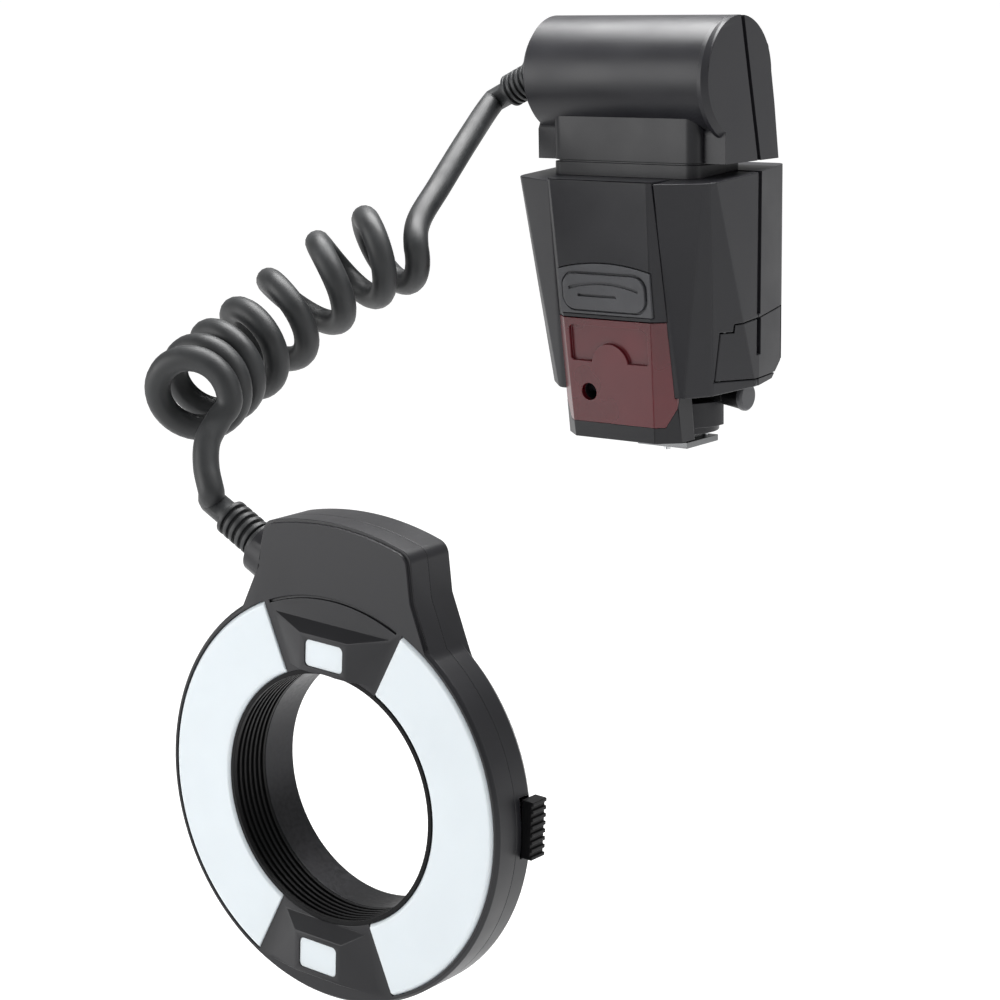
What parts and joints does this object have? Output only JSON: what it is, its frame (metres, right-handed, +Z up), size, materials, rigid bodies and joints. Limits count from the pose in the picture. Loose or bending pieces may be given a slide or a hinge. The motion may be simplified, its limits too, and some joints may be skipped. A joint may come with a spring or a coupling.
{
  "type": "macro ring flash",
  "caption": "Macro ring flash: controller with drum head on a shoe foot, curly cord, and a ring head with opal diffusers, lamp windows and a turning lens adapter.",
  "frame": {"origin": "middle of the underside of the shoe foot", "axes": "+Z up, -Y to the front along the lens axis, +X to the right seen from the front"},
  "size_m": [0.1414, 0.1888, 0.2619],
  "materials": {
    "housing": "fine satin texture",
    "dark_plastic": "fine satin texture",
    "grey_plastic": "satin",
    "red_lens": "dark translucent red",
    "lamp_amber": "translucent",
    "black_plastic": "matt",
    "steel": "plain",
    "foot_metal": "satin plated",
    "gold": "plated",
    "board": "solder mask",
    "lcd": "reflective display",
    "smoked": "smoked clear",
    "battery": "wrapped",
    "sleeve": "sleeved",
    "cord_rubber": "matt",
    "white_diffuser": "opal, ribbed inside",
    "reflector": "bright",
    "tube_glass": "clear",
    "black_metal": "black anodised"
  },
  "bodies": {
    "flash": {"body_front_shell": "housing", "body_back_shell": "housing", "front_spine": "housing", "grey_panel": "grey_plastic", "red_window": "red_lens", "focus_lamp": "tube_glass", "door_pin": "steel", "battery_pack": "battery", "battery_tray": "dark_plastic", "control_board": "board", "display_panel": "lcd", "display_window": "smoked", "head_front_shell": "housing", "head_back_shell": "housing", "neck_collar": "dark_plastic", "flash_capacitor": "sleeve", "cord_gland_head": "cord_rubber", "foot_base": "dark_plastic", "shoe_foot": "foot_metal", "foot_screws": "steel", "housing_screws": "black_plastic", "ring_front_shell": "dark_plastic", "ring_back_shell": "dark_plastic", "ring_screws": "black_plastic", "baffle_tube": "black_plastic", "right_diffuser": "white_diffuser", "left_diffuser": "white_diffuser", "right_reflector": "reflector", "left_reflector": "reflector", "right_flash_tube": "tube_glass", "left_flash_tube": "tube_glass", "top_lamp_window": "white_diffuser", "low_lamp_window": "white_diffuser", "lamp_bulbs": "tube_glass", "trigger_board": "board", "cord_gland_ring": "cord_rubber", "right_claw_spring": "steel", "left_claw_spring": "steel", "coiled_cord": "cord_rubber"},
    "door": {"battery_door": "housing"},
    "lever": {"lock_lever": "black_plastic", "knob_cap": "grey_plastic"},
    "lock_pin": {"lock_pin": "steel"},
    "contacts": {"contact_pins": "gold"},
    "power": {"power_switch": "grey_plastic"},
    "light_key": {"light_button": "grey_plastic"},
    "mode_key": {"mode_button": "grey_plastic"},
    "select_key": {"select_button": "grey_plastic"},
    "lamp_key": {"lamp_button": "grey_plastic"},
    "minus_key": {"minus_button": "grey_plastic"},
    "plus_key": {"plus_button": "grey_plastic"},
    "test_key": {"test_button": "lamp_amber"},
    "right_release": {"right_release_button": "black_plastic", "right_claw_plate": "steel"},
    "left_release": {"left_release_button": "black_plastic", "left_claw_plate": "steel"},
    "adapter": {"adapter_ring": "black_metal"}
  },
  "joints": [
    {"name": "door_swing", "type": "hinge", "parent": "flash", "child": "door", "pos_m": [0.0293, -0.0225, 0.0252], "axis": [-0.1305, 0, -0.9914], "range_deg": [0, 100]},
    {"name": "lever_swing", "type": "hinge", "parent": "flash", "child": "lever", "pos_m": [0, 0, 0.0167], "axis": [0, 0, 1], "range_deg": [-35, 0]},
    {"name": "lock_pin_slide", "type": "slide", "parent": "flash", "child": "lock_pin", "axis": [0, 0, 1], "range_m": [0, 0.0016]},
    {"name": "contact_press", "type": "slide", "parent": "flash", "child": "contacts", "axis": [0, 0, 1], "range_m": [0, 0.0005], "stiffness_N_per_m": 500, "springref_m": -0.001},
    {"name": "power_slide", "type": "slide", "parent": "flash", "child": "power", "axis": [1, 0, 0], "range_m": [0, 0.006]},
    {"name": "light_press", "type": "slide", "parent": "flash", "child": "light_key", "axis": [0, -1, 0], "range_m": [0, 0.0006], "stiffness_N_per_m": 800, "springref_m": -0.001},
    {"name": "mode_press", "type": "slide", "parent": "flash", "child": "mode_key", "axis": [0, -1, 0], "range_m": [0, 0.0006], "stiffness_N_per_m": 800, "springref_m": -0.001},
    {"name": "select_press", "type": "slide", "parent": "flash", "child": "select_key", "axis": [0, -1, 0], "range_m": [0, 0.0006], "stiffness_N_per_m": 800, "springref_m": -0.001},
    {"name": "lamp_press", "type": "slide", "parent": "flash", "child": "lamp_key", "axis": [0, -1, 0], "range_m": [0, 0.0006], "stiffness_N_per_m": 800, "springref_m": -0.001},
    {"name": "minus_press", "type": "slide", "parent": "flash", "child": "minus_key", "axis": [0, -1, 0], "range_m": [0, 0.0006], "stiffness_N_per_m": 800, "springref_m": -0.001},
    {"name": "plus_press", "type": "slide", "parent": "flash", "child": "plus_key", "axis": [0, -1, 0], "range_m": [0, 0.0006], "stiffness_N_per_m": 800, "springref_m": -0.001},
    {"name": "test_press", "type": "slide", "parent": "flash", "child": "test_key", "axis": [0, -1, 0], "range_m": [0, 0.0006], "stiffness_N_per_m": 800, "springref_m": -0.001},
    {"name": "right_release_press", "type": "slide", "parent": "flash", "child": "right_release", "axis": [-0.9979, 0, 0.0645], "range_m": [0, 0.002], "stiffness_N_per_m": 600, "springref_m": -0.003, "deforming": ["right_claw_spring"]},
    {"name": "left_release_press", "type": "slide", "parent": "flash", "child": "left_release", "axis": [0.9979, 0, -0.0645], "range_m": [0, 0.002], "stiffness_N_per_m": 600, "springref_m": -0.003, "deforming": ["left_claw_spring"]},
    {"name": "adapter_turn", "type": "hinge", "parent": "flash", "child": "adapter", "pos_m": [0, -0.1546, -0.0711], "axis": [0, -1, 0], "continuous": true}
  ],
  "couplings": [
    {"joint": "lock_pin_slide", "follows": "lever_swing", "m_per_rad": -0.002455}
  ]
}
